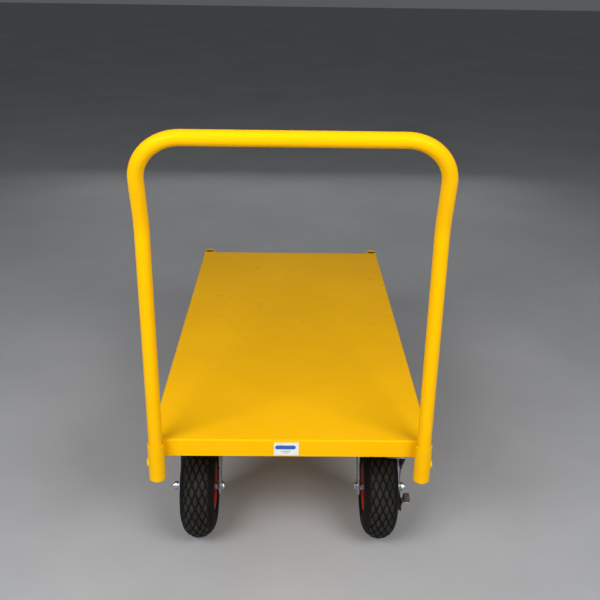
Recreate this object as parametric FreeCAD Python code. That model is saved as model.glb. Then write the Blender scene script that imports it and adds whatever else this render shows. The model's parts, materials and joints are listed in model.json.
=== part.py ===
import FreeCAD, Part
import math
import os

# Platform trolley: a folded steel deck on two swivel castors (handle end) and two
# fixed castors (far end), with a bent tube push handle in the two near sockets.
# The swivel castors are drawn trailing towards the handle.
# Millimetres. Origin: floor, centre of the overall plan. +X right, +Y away from the
# handle, +Z up.

# ---- deck ----
DECK_WIDTH = 610.0
DECK_LENGTH = 1220.0
DECK_TOP = 370.0
DECK_SHEET = 2.5
DECK_FLANGE = 41.0
DECK_FOLD = 4.0
DECK_LIP = 15.0

# ---- corner sockets ----
SOCKET_RADIUS = 18.0
SOCKET_BORE = 15.7
SOCKET_LENGTH = 90.0
SOCKET_BASE = 5.0
SOCKET_X = 289.0
SOCKET_OUT = 15.0
SOCKET_END_ROUND = 3.0
BOSS_RADIUS = 10.0
BOSS_PROUD = 1.8
BOSS_ROUND = 1.3
BOSS_DROP = 47.0

# ---- push handle ----
TUBE_RADIUS = 15.0
TUBE_WALL = 2.5
HANDLE_BEND_RISE = 490.0
HANDLE_BAR_RISE = 668.5
HANDLE_LEAN = math.radians(16.6)
HANDLE_BEND = 150.0
HANDLE_CORNER = 88.0
HANDLE_SEAT_GAP = 1.0
PLUG_HEIGHT = 14.0

# ---- label ----
LABEL_WIDTH = 54.0
LABEL_HEIGHT = 32.0
LABEL_THICK = 0.5
LABEL_X = -8.0
LABEL_DROP = 22.0

# ---- under-deck steelwork ----
BOLSTER_WIDTH = 150.0
BOLSTER_LENGTH = 570.0
BOLSTER_SHEET = 4.0
BOLSTER_BEND = 7.0
RIB_WIDTH = 60.0
RIB_DEPTH = 38.0
RIB_SHEET = 2.5
RIB_BEND = 5.0
RAIL_X = 200.0
RIB_OFFSET = 152.5

# ---- castors ----
CASTOR_X = 220.0
CASTOR_HEIGHT = 316.0
PLATE_LENGTH = 140.0
PLATE_WIDTH = 110.0
PLATE_SHEET = 6.0
PLATE_CORNER = 10.0
PLATE_BOLTS_X = 80.0
PLATE_BOLTS_Y = 105.0
SLOT_HALF_WIDTH = 5.5
SLOT_EXTRA = 4.0
TRAIL = 66.0
KINGPIN_FROM_END = 241.0
FIXED_FROM_END = 175.0
FORK_GAP = 92.0
FORK_SHEET = 5.0
FORK_BEND = 10.0
FORK_CROWN_TOP = 292.0
FORK_CROWN_SHEET = 6.0
FORK_CROWN_HALF = 50.0
FORK_TAPER = 12.0
FORK_SHOULDER = 30.0
FORK_EYE = 22.0
FIXED_TOP_HALF = 40.0

# ---- swivel bearing ----
RACE_INNER = 30.0
RACE_OUTER = 46.0
RACE_GAP = 4.0
BALL_RADIUS = 5.0
BALL_PITCH = 38.0
BALL_COUNT = 18
BALL_PLAY = 0.3
BALL_SEAT_PLAY = 0.02
KINGPIN_RADIUS = 8.0
KINGPIN_HEAD = 14.0
RUNNING_PLAY = 0.05

# ---- wheel ----
WHEEL_RADIUS = 125.0
TYRE_HALF_WIDTH = 40.4
TYRE_SHOULDER_X = 24.0
TYRE_SHOULDER_R = 117.0
TYRE_WIDEST_R = 86.0
TYRE_BEAD_X = 34.0
TYRE_BEAD_R = 62.0
TYRE_TREAD = 8.0
TYRE_WALL = 6.5
SHOULDER_SHARE_X = 0.8
SHOULDER_SHARE_R = 0.9
BEAD_SEAT = 52.0
TUBE_PLAY = 0.4
INNER_TUBE_WALL = 2.0
RIM_SHEET = 2.0
RIM_FLANGE = 59.0
RIM_DISC_EDGE = 40.0
RIM_CONE_X = 12.0
VALVE_RADIUS = 4.0
VALVE_LENGTH = 30.0
HUB_RADIUS = 18.0
HUB_LENGTH = 58.0
HUB_CORE = 11.0
HUB_FLANGE = 39.0
HUB_FLANGE_THICK = 4.0
BEARING_RADIUS = 14.0
BEARING_WIDTH = 8.0
RIM_BOLT_PITCH = 30.0
RIM_BOLT_COUNT = 4
RIM_BOLT_START = math.radians(45)
AXLE_RADIUS = 6.0
SPACER_RADIUS = 9.0
SIDE_PLAY = 0.3

# ---- brake (right swivel castor); its Y sizes count from the axle ----
BRAKE_PIN_RADIUS = 6.0
BRAKE_PIN_Y = 24.0
BRAKE_PIN_Z = 172.0
BRAKE_ANGLE = 12.0
BRAKE_HEAD_RADIUS = 9.5
BRAKE_HEAD = 3.0
BRAKE_GAP = 1.0
SHOE_SHEET = 4.0
SHOE_FROM_MIDDLE = 9.0
SHOE_FAR_ANGLE = 105.0
SHOE_NEAR_ANGLE = 125.0
LEVER_SHEET = 5.0
LEVER_EYE_RADIUS = 13.0
LEVER_ARM_RADIUS = 10.0
LEVER_TOP_Y = -39.0
LEVER_TOP_Z = 243.5
LEVER_ELBOW_Y = 26.0
LEVER_ELBOW_Z = 104.0
LEVER_TOE_Y = -28.0
LEVER_TOE_Z = 86.0
PEDAL_SHEET = 2.5
PEDAL_Y = -37.0
PEDAL_DEPTH = 22.0
PEDAL_REACH = 20.0
PEDAL_SKIRT = 28.0
PEDAL_TOP = 104.5
PAD_HEIGHT = 13.0

# ---- fasteners: shank radius, across flats, head height, nut height, washer ----
M8 = {"r": 4.0, "af": 13.0, "head": 5.3, "nut": 6.5, "washer_r": 8.0, "washer": 1.6}
M10 = {"r": 5.0, "af": 17.0, "head": 6.4, "nut": 8.4, "washer_r": 10.0, "washer": 2.0}
M12 = {"r": 6.0, "af": 19.0, "head": 7.5, "nut": 10.0, "washer_r": 12.0, "washer": 2.5}
M16 = {"af": 24.0, "nut": 13.0, "washer_r": 15.0, "washer": 3.0}
HEX_SIDES = 6
HEX_TURNED = 0.97
THREAD_SHOWING = 3.0
HOLE_PLAY = 0.5

# ---- places worked out from the sizes above ----
BAR_BACK = (HANDLE_BAR_RISE - HANDLE_BEND_RISE) * math.tan(HANDLE_LEAN)
NEAR_REACH = SOCKET_OUT + BAR_BACK + TUBE_RADIUS
FAR_REACH = SOCKET_OUT + SOCKET_RADIUS
DECK_NEAR = NEAR_REACH - (NEAR_REACH + DECK_LENGTH + FAR_REACH) / 2
DECK_FAR = DECK_NEAR + DECK_LENGTH
DECK_MID = (DECK_NEAR + DECK_FAR) / 2
DECK_UNDER = DECK_TOP - DECK_SHEET
HANDLE_Y = DECK_NEAR - SOCKET_OUT
BAR_Y = HANDLE_Y - BAR_BACK
SOCKET_BOTTOM = DECK_TOP - SOCKET_LENGTH
SEAT_Z = SOCKET_BOTTOM + SOCKET_BASE
KINGPIN_Y = DECK_NEAR + KINGPIN_FROM_END
SWIVEL_AXLE_Y = KINGPIN_Y - TRAIL
FIXED_Y = DECK_FAR - FIXED_FROM_END
FORK_HALF = FORK_GAP / 2 + FORK_SHEET
CROWN_UNDER = FORK_CROWN_TOP - FORK_CROWN_SHEET
PLATE_UNDER = CASTOR_HEIGHT - PLATE_SHEET
BALL_Z = (FORK_CROWN_TOP + PLATE_UNDER) / 2
BEAD_INNER_X = TYRE_BEAD_X - TYRE_WALL
CROWN_DROP = WHEEL_RADIUS - TYRE_SHOULDER_R
CROWN_ARC = (TYRE_SHOULDER_X ** 2 + CROWN_DROP ** 2) / (2 * CROWN_DROP)
SHOE_DROP = CROWN_ARC - math.sqrt(CROWN_ARC ** 2 - SHOE_FROM_MIDDLE ** 2)
SHOE_RADIUS = WHEEL_RADIUS - SHOE_DROP + SIDE_PLAY
LEVER_X = CASTOR_X + FORK_HALF + BRAKE_GAP
LEVER_OUTER = LEVER_X + LEVER_SHEET
BRAKE_PIN = (SWIVEL_AXLE_Y + BRAKE_PIN_Y, BRAKE_PIN_Z)
TOUCHING = 1e-6
SIDES = {"left": -1, "right": 1}

X_AXIS = FreeCAD.Vector(1, 0, 0)
Y_AXIS = FreeCAD.Vector(0, 1, 0)
Z_AXIS = FreeCAD.Vector(0, 0, 1)


def vec(x, y, z):
    return FreeCAD.Vector(x, y, z)


# ---- shape helpers ----
def box(low, high):
    size = high - low
    return Part.makeBox(size.x, size.y, size.z, low)


def rod(radius, start, axis, length):
    return Part.makeCylinder(radius, length, start, axis)


def ring(outer, inner, start, axis, length):
    return rod(outer, start, axis, length).cut(rod(inner, start, axis, length))


def hex_prism(across_flats, start, axis, length):
    """Hexagonal prism along +X or +Z, its corners lightly turned off."""
    corner = across_flats / math.sqrt(3)
    side = Y_AXIS
    up = axis.cross(side)
    points = []
    for step in range(HEX_SIDES + 1):
        angle = 2 * math.pi * step / HEX_SIDES
        points.append(start + side * (corner * math.cos(angle)) + up * (corner * math.sin(angle)))
    prism = Part.Face(Part.makePolygon(points)).extrude(axis * length)
    turned = rod(corner * HEX_TURNED, start, axis, length)
    return prism.common(turned)


def moved(shape, x, y, z):
    copy = shape.copy()
    copy.translate(vec(x, y, z))
    return copy


def rounded_wire(points, radii, closed=True):
    """Straight runs between the points, with a tangent arc of each point's radius."""
    count = len(points)
    starts = []
    ends = []
    edges = []
    for index, point in enumerate(points):
        radius = radii[index]
        at_end = not closed and index in (0, count - 1)
        if radius == 0 or at_end:
            starts.append(point)
            ends.append(point)
            edges.append(None)
            continue
        arrive = (point - points[index - 1]).normalize()
        leave = (points[(index + 1) % count] - point).normalize()
        half_turn = arrive.getAngle(leave) / 2
        reach = radius * math.tan(half_turn)
        inward = (leave - arrive).normalize()
        middle = point + inward * (radius / math.cos(half_turn) - radius)
        starts.append(point - arrive * reach)
        ends.append(point + leave * reach)
        edges.append(Part.Arc(starts[-1], middle, ends[-1]).toShape())
    path = []
    for index in range(count):
        if edges[index] is not None:
            path.append(edges[index])
        if closed or index < count - 1:
            target = starts[(index + 1) % count]
            if ends[index].distanceToPoint(target) > TOUCHING:
                path.append(Part.LineSegment(ends[index], target).toShape())
    return Part.Wire(path)


def tangent_point(centre, radius, outside, side):
    """Where a line from the outside point touches the circle; side is +1 or -1. (Y, Z) pairs."""
    dy = outside[0] - centre[0]
    dz = outside[1] - centre[1]
    turn = side * math.acos(radius / math.hypot(dy, dz))
    angle = math.atan2(dz, dy) + turn
    return polar(centre, radius, math.degrees(angle))


def polar(centre, radius, degrees):
    """The (Y, Z) pair at that radius and angle, counted from +Y towards +Z."""
    angle = math.radians(degrees)
    return (centre[0] + radius * math.cos(angle), centre[1] + radius * math.sin(angle))


def prism_yz(pairs, x0, x1):
    """A flat outline of (Y, Z) pairs, extruded from x0 to x1."""
    points = [vec(x0, y, z) for y, z in pairs]
    face = Part.Face(Part.makePolygon(points + points[:1]))
    return face.extrude(vec(x1 - x0, 0, 0))


def strap(x0, x1, eye, eye_radius, toe, toe_radius):
    """Flat link between two round ends, its edges tangent to both."""
    length = math.hypot(toe[0] - eye[0], toe[1] - eye[1])
    along = math.atan2(toe[1] - eye[1], toe[0] - eye[0])
    tilt = math.acos((eye_radius - toe_radius) / length)
    pairs = []
    for centre, radius, sides in ((eye, eye_radius, (1, -1)), (toe, toe_radius, (-1, 1))):
        for side in sides:
            pairs.append(polar(centre, radius, math.degrees(along + side * tilt)))
    body = prism_yz(pairs, x0, x1)
    for centre, radius in ((eye, eye_radius), (toe, toe_radius)):
        body = body.fuse(rod(radius, vec(x0, centre[0], centre[1]), X_AXIS, x1 - x0))
    return body.removeSplitter()


def u_channel(width, depth, sheet, bend, start, axis, across, length):
    """Channel open at the top: a flat web below and two walls, bent with a radius."""
    half = width / 2
    points = []
    for offset, height in ((-half, depth), (-half, 0), (half, 0), (half, depth)):
        points.append(start + across * offset + Z_AXIS * height)
    for offset, height in ((half, depth), (half, 0), (-half, 0), (-half, depth)):
        inset = sheet if height == 0 else 0
        reach = offset - math.copysign(sheet, offset)
        points.append(start + across * reach + Z_AXIS * (height + inset))
    radii = [0, bend, bend, 0, 0, bend - sheet, bend - sheet, 0]
    return Part.Face(rounded_wire(points, radii)).extrude(axis * length)


def export(name, shape):
    shape.exportStep("parts/" + name + ".step")


# ---- deck ----
def deck_shell(inset, top, bottom, fold):
    half = DECK_WIDTH / 2 - inset
    shell = box(vec(-half, DECK_NEAR + inset, bottom), vec(half, DECK_FAR - inset, top))
    edges = []
    for edge in shell.Edges:
        upright = edge.BoundBox.ZLength > TOUCHING
        if upright or abs(edge.BoundBox.ZMin - top) < TOUCHING:
            edges.append(edge)
    return shell.makeFillet(fold, edges)


def deck_tray():
    flange_foot = DECK_TOP - DECK_FLANGE
    tray = deck_shell(0, DECK_TOP, flange_foot, DECK_FOLD)
    fold_inside = DECK_FOLD - DECK_SHEET
    hollow = deck_shell(DECK_SHEET, DECK_UNDER, flange_foot + DECK_SHEET, fold_inside)
    lip_half = DECK_WIDTH / 2 - DECK_LIP
    mouth_low = vec(-lip_half, DECK_NEAR + DECK_LIP, flange_foot)
    mouth_high = vec(lip_half, DECK_FAR - DECK_LIP, flange_foot + DECK_SHEET)
    tray = tray.cut(hollow).cut(box(mouth_low, mouth_high))
    for x, y in socket_places().values():
        notch = rod(SOCKET_RADIUS, vec(x, y, SOCKET_BOTTOM), Z_AXIS, SOCKET_LENGTH)
        tray = tray.cut(notch)
    return tray


def bolster(y):
    depth = DECK_UNDER - CASTOR_HEIGHT
    start = vec(-BOLSTER_LENGTH / 2, y, CASTOR_HEIGHT)
    body = u_channel(BOLSTER_WIDTH, depth, BOLSTER_SHEET, BOLSTER_BEND, start, X_AXIS, Y_AXIS, BOLSTER_LENGTH)
    for x, bolt_y in castor_bolt_places(y):
        body = body.cut(rod(M10["r"] + HOLE_PLAY, vec(x, bolt_y, CASTOR_HEIGHT), Z_AXIS, BOLSTER_SHEET))
    return body


def side_rails():
    near = KINGPIN_Y + BOLSTER_WIDTH / 2
    length = FIXED_Y - BOLSTER_WIDTH / 2 - near
    rails = []
    for side in SIDES.values():
        start = vec(side * RAIL_X, near, DECK_UNDER - RIB_DEPTH)
        rails.append(u_channel(RIB_WIDTH, RIB_DEPTH, RIB_SHEET, RIB_BEND, start, Y_AXIS, X_AXIS, length))
    return Part.makeCompound(rails)


def cross_ribs():
    half = RAIL_X - RIB_WIDTH / 2
    ribs = []
    for part in (-1, 1):
        y = DECK_MID + part * RIB_OFFSET
        start = vec(-half, y, DECK_UNDER - RIB_DEPTH)
        ribs.append(u_channel(RIB_WIDTH, RIB_DEPTH, RIB_SHEET, RIB_BEND, start, X_AXIS, Y_AXIS, 2 * half))
    return Part.makeCompound(ribs)


def data_label():
    z = DECK_TOP - LABEL_DROP
    low = vec(LABEL_X - LABEL_WIDTH / 2, DECK_NEAR - LABEL_THICK, z - LABEL_HEIGHT / 2)
    high = vec(LABEL_X + LABEL_WIDTH / 2, DECK_NEAR, z + LABEL_HEIGHT / 2)
    return box(low, high)


# ---- sockets ----
def socket_places():
    places = {}
    for side, sign in SIDES.items():
        places["near_" + side] = (sign * SOCKET_X, DECK_NEAR - SOCKET_OUT)
        places["far_" + side] = (sign * SOCKET_X, DECK_FAR + SOCKET_OUT)
    return places


def corner_socket(x, y):
    """Open-topped tube with a welded base; the base has a bolt hole, the side a weld boss."""
    body = rod(SOCKET_RADIUS, vec(x, y, SOCKET_BOTTOM), Z_AXIS, SOCKET_LENGTH)
    foot = [edge for edge in body.Edges if edge.BoundBox.ZMax < SEAT_Z]
    body = body.makeFillet(SOCKET_END_ROUND, foot)
    outward = X_AXIS * math.copysign(1, x)
    boss_start = vec(x, y, DECK_TOP - BOSS_DROP)
    boss = rod(BOSS_RADIUS, boss_start, outward, SOCKET_RADIUS + BOSS_PROUD)
    rim = [edge for edge in boss.Edges if abs(edge.BoundBox.XMin) > abs(x) + SOCKET_RADIUS]
    body = body.fuse(boss.makeFillet(BOSS_ROUND, rim[:1]))
    body = body.cut(rod(SOCKET_BORE, vec(x, y, SEAT_Z), Z_AXIS, SOCKET_LENGTH))
    return body.cut(rod(M8["r"] + HOLE_PLAY, vec(x, y, SOCKET_BOTTOM), Z_AXIS, SOCKET_BASE))


# ---- handle ----
def handle_tube():
    foot = SEAT_Z + HANDLE_SEAT_GAP
    bend_z = DECK_TOP + HANDLE_BEND_RISE
    bar_z = DECK_TOP + HANDLE_BAR_RISE
    left = [vec(-SOCKET_X, HANDLE_Y, foot), vec(-SOCKET_X, HANDLE_Y, bend_z), vec(-SOCKET_X, BAR_Y, bar_z)]
    right = [vec(-point.x, point.y, point.z) for point in reversed(left)]
    radii = [0, HANDLE_BEND, HANDLE_CORNER, HANDLE_CORNER, HANDLE_BEND, 0]
    path = rounded_wire(left + right, radii, closed=False)
    solids = []
    for radius in (TUBE_RADIUS, TUBE_RADIUS - TUBE_WALL):
        section = Part.Wire(Part.makeCircle(radius, left[0], Z_AXIS))
        solids.append(path.makePipeShell([section], True, False))
    return solids[0].cut(solids[1])


def handle_plugs():
    """Tapped plugs welded inside the two handle feet."""
    plugs = []
    for sign in SIDES.values():
        foot = vec(sign * SOCKET_X, HANDLE_Y, SEAT_Z + HANDLE_SEAT_GAP)
        plugs.append(ring(TUBE_RADIUS - TUBE_WALL, M8["r"], foot, Z_AXIS, PLUG_HEIGHT))
    return Part.makeCompound(plugs)


def handle_bolts():
    """One bolt up through each near socket base into the handle plug, with its washer."""
    pieces = []
    shank = M8["washer"] + SOCKET_BASE + HANDLE_SEAT_GAP + PLUG_HEIGHT
    for sign in SIDES.values():
        x = sign * SOCKET_X
        washer_z = SOCKET_BOTTOM - M8["washer"]
        pieces.append(ring(M8["washer_r"], M8["r"], vec(x, HANDLE_Y, washer_z), Z_AXIS, M8["washer"]))
        head = hex_prism(M8["af"], vec(x, HANDLE_Y, washer_z - M8["head"]), Z_AXIS, M8["head"])
        pieces.append(head.fuse(rod(M8["r"], vec(x, HANDLE_Y, washer_z), Z_AXIS, shank)))
    return Part.makeCompound(pieces)


# ---- castor frames ----
def castor_bolt_places(y):
    places = []
    for side in SIDES.values():
        for across in (-1, 1):
            for along in (-1, 1):
                x = side * CASTOR_X + across * PLATE_BOLTS_X / 2
                places.append((x, y + along * PLATE_BOLTS_Y / 2))
    return places


def slotted_plate(x, y):
    """Rounded top plate with four slots running across the trolley."""
    half_x = PLATE_WIDTH / 2
    half_y = PLATE_LENGTH / 2
    plate = box(vec(x - half_x, y - half_y, PLATE_UNDER), vec(x + half_x, y + half_y, CASTOR_HEIGHT))
    uprights = [edge for edge in plate.Edges if edge.BoundBox.ZLength > TOUCHING]
    plate = plate.makeFillet(PLATE_CORNER, uprights)
    for bolt_x, bolt_y in castor_bolt_places(y):
        if abs(bolt_x - x) > half_x:
            continue
        low = vec(bolt_x - SLOT_EXTRA, bolt_y - SLOT_HALF_WIDTH, PLATE_UNDER)
        high = vec(bolt_x + SLOT_EXTRA, bolt_y + SLOT_HALF_WIDTH, CASTOR_HEIGHT)
        slot = box(low, high)
        for end in (-SLOT_EXTRA, SLOT_EXTRA):
            round_start = vec(bolt_x + end, bolt_y, PLATE_UNDER)
            slot = slot.fuse(rod(SLOT_HALF_WIDTH, round_start, Z_AXIS, PLATE_SHEET))
        plate = plate.cut(slot)
    return plate


def ball_track(x, y, play):
    """The round groove that the swivel balls run in."""
    return Part.makeTorus(BALL_PITCH, BALL_RADIUS + play, vec(x, y, BALL_Z), Z_AXIS)


def swivel_plate(x):
    y = KINGPIN_Y
    race_z = BALL_Z + RACE_GAP / 2
    race = ring(RACE_OUTER, RACE_INNER, vec(x, y, race_z), Z_AXIS, PLATE_UNDER - race_z)
    plate = slotted_plate(x, y).fuse(race).cut(ball_track(x, y, BALL_PLAY))
    return plate.cut(kingpin_body(x)).removeSplitter()


def kingpin_body(x):
    foot = CROWN_UNDER - M16["washer"] - M16["nut"] - THREAD_SHOWING
    shaft = rod(KINGPIN_RADIUS, vec(x, KINGPIN_Y, foot), Z_AXIS, CASTOR_HEIGHT - foot)
    head = Part.makeCone(KINGPIN_RADIUS, KINGPIN_HEAD, PLATE_SHEET, vec(x, KINGPIN_Y, PLATE_UNDER), Z_AXIS)
    return shaft.fuse(head)


def kingpins():
    return Part.makeCompound([kingpin_body(side * CASTOR_X) for side in SIDES.values()])


def kingpin_nuts():
    pieces = []
    for side in SIDES.values():
        x = side * CASTOR_X
        washer_z = CROWN_UNDER - SIDE_PLAY - M16["washer"]
        start = vec(x, KINGPIN_Y, washer_z)
        pieces.append(ring(M16["washer_r"], KINGPIN_RADIUS, start, Z_AXIS, M16["washer"]))
        nut_start = start - Z_AXIS * M16["nut"]
        nut = hex_prism(M16["af"], nut_start, Z_AXIS, M16["nut"])
        pieces.append(nut.cut(rod(KINGPIN_RADIUS, nut_start, Z_AXIS, M16["nut"])))
    return Part.makeCompound(pieces)


def fork_blank(x, middle, half, top, crown, axle_y):
    """Bent U of plate over the wheel, cut to its side outline, with the axle holes."""
    foot = WHEEL_RADIUS - 2 * FORK_EYE
    points = [vec(-FORK_HALF, 0, foot), vec(-FORK_HALF, 0, top)]
    points += [vec(FORK_HALF, 0, top), vec(FORK_HALF, 0, foot)]
    inner = FORK_HALF - FORK_SHEET
    under = top - crown
    points += [vec(inner, 0, foot), vec(inner, 0, under), vec(-inner, 0, under), vec(-inner, 0, foot)]
    radii = [0, FORK_BEND, FORK_BEND, 0, 0, FORK_BEND - FORK_SHEET, FORK_BEND - FORK_SHEET, 0]
    start = min(middle - half, axle_y - FORK_EYE)
    bent = Part.Face(rounded_wire(points, radii)).extrude(vec(0, middle + half - start, 0))
    bent = moved(bent, x, start, 0)
    shoulder = top - FORK_SHOULDER
    waist = half - FORK_TAPER
    eye = (axle_y, WHEEL_RADIUS)
    near = tangent_point(eye, FORK_EYE, (middle - waist, shoulder), 1)
    far = tangent_point(eye, FORK_EYE, (middle + waist, shoulder), -1)
    outline = [
        (middle - half, top), (middle + half, top), (middle + waist, shoulder),
        far, near, (middle - waist, shoulder),
    ]
    side = prism_yz(outline, x - FORK_HALF, x + FORK_HALF)
    side = side.fuse(rod(FORK_EYE, vec(x - FORK_HALF, axle_y, WHEEL_RADIUS), X_AXIS, 2 * FORK_HALF))
    hole = rod(AXLE_RADIUS + HOLE_PLAY / 2, vec(x - FORK_HALF, axle_y, WHEEL_RADIUS), X_AXIS, 2 * FORK_HALF)
    return bent.common(side).cut(hole)


def swivel_fork(x, braked):
    """Fork with the lower ball race on its crown; the braked one is bored for the brake pin."""
    fork = fork_blank(x, KINGPIN_Y, FORK_CROWN_HALF, FORK_CROWN_TOP, FORK_CROWN_SHEET, SWIVEL_AXLE_Y)
    crown_start = vec(x, KINGPIN_Y, FORK_CROWN_TOP)
    race_height = BALL_Z - RACE_GAP / 2 - FORK_CROWN_TOP
    race = ring(RACE_OUTER, RACE_INNER, crown_start, Z_AXIS, race_height)
    fork = fork.fuse(race).cut(ball_track(x, KINGPIN_Y, BALL_SEAT_PLAY))
    bore_start = crown_start - Z_AXIS * FORK_CROWN_SHEET
    fork = fork.cut(rod(KINGPIN_RADIUS + RUNNING_PLAY, bore_start, Z_AXIS, FORK_CROWN_SHEET))
    if braked:
        start = vec(x + FORK_GAP / 2, SWIVEL_AXLE_Y + BRAKE_PIN_Y, BRAKE_PIN_Z)
        fork = fork.cut(rod(BRAKE_PIN_RADIUS + RUNNING_PLAY, start, X_AXIS, FORK_SHEET))
    return fork.removeSplitter()


def swivel_balls(x):
    balls = []
    for step in range(BALL_COUNT):
        angle = 2 * math.pi * step / BALL_COUNT
        centre = vec(x + BALL_PITCH * math.cos(angle), KINGPIN_Y + BALL_PITCH * math.sin(angle), BALL_Z)
        balls.append(Part.makeSphere(BALL_RADIUS, centre))
    return Part.makeCompound(balls)


def fixed_bracket(x):
    fork = fork_blank(x, FIXED_Y, FIXED_TOP_HALF, PLATE_UNDER, FORK_SHEET, FIXED_Y)
    return slotted_plate(x, FIXED_Y).fuse(fork).removeSplitter()


def castor_bolts():
    pieces = []
    length = M10["washer"] + PLATE_SHEET + BOLSTER_SHEET + M10["nut"] + THREAD_SHOWING
    for x, y in castor_bolt_places(KINGPIN_Y) + castor_bolt_places(FIXED_Y):
        washer_z = PLATE_UNDER - M10["washer"]
        pieces.append(ring(M10["washer_r"], M10["r"], vec(x, y, washer_z), Z_AXIS, M10["washer"]))
        head = hex_prism(M10["af"], vec(x, y, washer_z - M10["head"]), Z_AXIS, M10["head"])
        pieces.append(head.fuse(rod(M10["r"], vec(x, y, washer_z), Z_AXIS, length)))
    return Part.makeCompound(pieces)


def castor_nuts():
    nuts = []
    for x, y in castor_bolt_places(KINGPIN_Y) + castor_bolt_places(FIXED_Y):
        start = vec(x, y, CASTOR_HEIGHT + BOLSTER_SHEET)
        nut = hex_prism(M10["af"], start, Z_AXIS, M10["nut"])
        nuts.append(nut.cut(rod(M10["r"], start, Z_AXIS, M10["nut"])))
    return Part.makeCompound(nuts)


# ---- axles ----
def axle_bolt(x, y, side):
    """Bolt across the fork, its head on the side nearer the trolley's centre line."""
    inner = x - side * FORK_HALF
    head_low = inner - M12["head"] if side > 0 else inner
    head = hex_prism(M12["af"], vec(head_low, y, WHEEL_RADIUS), X_AXIS, M12["head"])
    length = 2 * FORK_HALF + M12["washer"] + M12["nut"] + THREAD_SHOWING
    shank = rod(M12["r"], vec(inner, y, WHEEL_RADIUS), X_AXIS * side, length)
    return head.fuse(shank)


def axle_hardware(x, y, side):
    """Washer and nut outside the fork, and the two spacers beside the hub."""
    outer = x + side * FORK_HALF
    low = outer if side > 0 else outer - M12["washer"]
    washer = ring(M12["washer_r"], M12["r"], vec(low, y, WHEEL_RADIUS), X_AXIS, M12["washer"])
    low = outer + M12["washer"] if side > 0 else outer - M12["washer"] - M12["nut"]
    nut = hex_prism(M12["af"], vec(low, y, WHEEL_RADIUS), X_AXIS, M12["nut"])
    pieces = [washer, nut.cut(rod(M12["r"], vec(low, y, WHEEL_RADIUS), X_AXIS, M12["nut"]))]
    gap = FORK_GAP / 2 - HUB_LENGTH / 2 - SIDE_PLAY
    for start in (x - FORK_GAP / 2, x + FORK_GAP / 2 - gap):
        pieces.append(ring(SPACER_RADIUS, AXLE_RADIUS, vec(start, y, WHEEL_RADIUS), X_AXIS, gap))
    return pieces


# ---- wheel pieces, built about the X axis through the origin ----
def spun(edges):
    face = Part.Face(Part.Wire(edges))
    return face.revolve(vec(0, 0, 0), X_AXIS, 360)


def chain(points):
    """Edges through (x, r) stops: a pair of stops is a line, and a stop's third item is an arc's middle."""
    edges = []
    for (start, _), (end, middle) in zip(points, points[1:] + points[:1]):
        first = vec(start[0], 0, start[1])
        last = vec(end[0], 0, end[1])
        if middle is None:
            edges.append(Part.LineSegment(first, last).toShape())
        else:
            edges.append(Part.Arc(first, vec(middle[0], 0, middle[1]), last).toShape())
    return edges


def tyre_arch(inset_side, inset_crown, foot_x, foot_r):
    """Right bead, over the crown, to the left bead: sidewall, tread and sidewall arcs."""
    shoulder_x = TYRE_SHOULDER_X - inset_side * SHOULDER_SHARE_X
    shoulder_r = TYRE_SHOULDER_R - inset_crown * SHOULDER_SHARE_R
    wide = TYRE_HALF_WIDTH - inset_side
    return [
        ((foot_x, foot_r), None),
        ((shoulder_x, shoulder_r), (wide, TYRE_WIDEST_R)),
        ((-shoulder_x, shoulder_r), (0, WHEEL_RADIUS - inset_crown)),
        ((-foot_x, foot_r), (-wide, TYRE_WIDEST_R)),
    ]


def tyre():
    outside = tyre_arch(0, 0, TYRE_BEAD_X, TYRE_BEAD_R)
    inside = tyre_arch(TYRE_WALL, TYRE_TREAD, BEAD_INNER_X, TYRE_BEAD_R)
    feet_left = [((-TYRE_BEAD_X, BEAD_SEAT), None), ((-BEAD_INNER_X, BEAD_SEAT), None)]
    feet_right = [((BEAD_INNER_X, BEAD_SEAT), None), ((TYRE_BEAD_X, BEAD_SEAT), None)]
    back = [((-BEAD_INNER_X, TYRE_BEAD_R), None)]
    middles = [stop[1] for stop in inside[1:]]
    corners = [stop[0] for stop in inside]
    for corner, middle in zip(reversed(corners[:-1]), reversed(middles)):
        back.append((corner, middle))
    return spun(chain(outside + feet_left + back + feet_right))


def inner_tube():
    """Closed rubber ring inside the tyre, with the valve stem moulded to it."""
    outer = spun(chain(tyre_arch(TYRE_WALL + TUBE_PLAY, TYRE_TREAD + TUBE_PLAY,
                                 BEAD_INNER_X - TUBE_PLAY, TYRE_BEAD_R)))
    inset = TUBE_PLAY + INNER_TUBE_WALL
    void = spun(chain(tyre_arch(TYRE_WALL + inset, TYRE_TREAD + inset,
                                BEAD_INNER_X - inset, TYRE_BEAD_R + INNER_TUBE_WALL)))
    return outer.fuse(valve_stem(VALVE_RADIUS)).cut(void).removeSplitter()


def valve_stem(radius):
    """Straight stem sloping out of the rim towards +X."""
    start = vec(0, 0, TYRE_BEAD_R + INNER_TUBE_WALL / 2)
    return rod(radius, start, vec(1, 0, -1).normalize(), VALVE_LENGTH)


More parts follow.
